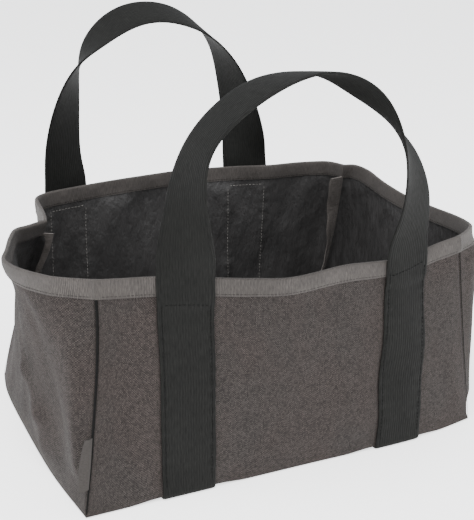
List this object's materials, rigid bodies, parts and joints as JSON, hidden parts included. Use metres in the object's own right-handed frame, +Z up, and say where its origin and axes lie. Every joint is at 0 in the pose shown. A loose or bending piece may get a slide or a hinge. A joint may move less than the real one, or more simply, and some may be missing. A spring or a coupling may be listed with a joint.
{
  "type": "garden tool bag",
  "caption": "Open-topped cloth tool bag with a bound rim, a stiff base, webbing straps under the base and webbing loop handles that fold down.",
  "frame": {"origin": "middle of the base on the floor, under the middle of the whole box", "axes": "+X along the bag's length towards the right end, -Y towards the front, +Z up"},
  "size_m": [0.4594, 0.4009, 0.3831],
  "materials": {
    "cloth": "heather grey-brown woven polyester, coated charcoal inside",
    "cover": "charcoal coated cloth",
    "board": "matt",
    "tape": "ribbed woven tape",
    "webbing": "ribbed polypropylene webbing",
    "thread": "sewing thread",
    "label": "woven label tape"
  },
  "bodies": {
    "bag": {"front_panel": "cloth", "right_end_panel": "cloth", "back_panel": "cloth", "left_end_panel": "cloth", "bottom_panel": "cloth", "base_board": "board", "base_cover": "cover", "base_seam_tape": "tape", "front_rim_tape": "tape", "right_rim_tape": "tape", "back_rim_tape": "tape", "left_rim_tape": "tape", "front_left_seam_tape": "tape", "front_right_seam_tape": "tape", "back_right_seam_tape": "tape", "back_left_seam_tape": "tape", "front_left_strap": "webbing", "front_right_strap": "webbing", "back_left_strap": "webbing", "back_right_strap": "webbing", "left_base_strap": "webbing", "right_base_strap": "webbing", "front_left_strap_stitching": "thread", "front_right_strap_stitching": "thread", "back_left_strap_stitching": "thread", "back_right_strap_stitching": "thread", "front_rim_stitching": "thread", "right_rim_stitching": "thread", "back_rim_stitching": "thread", "left_rim_stitching": "thread"},
    "front_handle_loop": {"front_handle": "webbing"},
    "back_handle_loop": {"back_handle": "webbing"},
    "label_tab": {"side_label": "label"}
  },
  "joints": [
    {"name": "front_handle_swing", "type": "hinge", "parent": "bag", "child": "front_handle_loop", "pos_m": [0, -0.16977, 0.19721], "axis": [0.9982, -0.0224, -0.0562], "range_deg": [-20, 100]},
    {"name": "back_handle_swing", "type": "hinge", "parent": "bag", "child": "back_handle_loop", "pos_m": [0, 0.15848, 0.20257], "axis": [-0.9994, -0.0352, 0.0005], "range_deg": [-20, 100]},
    {"name": "label_flap", "type": "hinge", "parent": "bag", "child": "label_tab", "pos_m": [-0.19998, -0.16266, 0.02536], "axis": [0.0858, 0.1465, 0.9855], "range_deg": [-50, 135]}
  ]
}
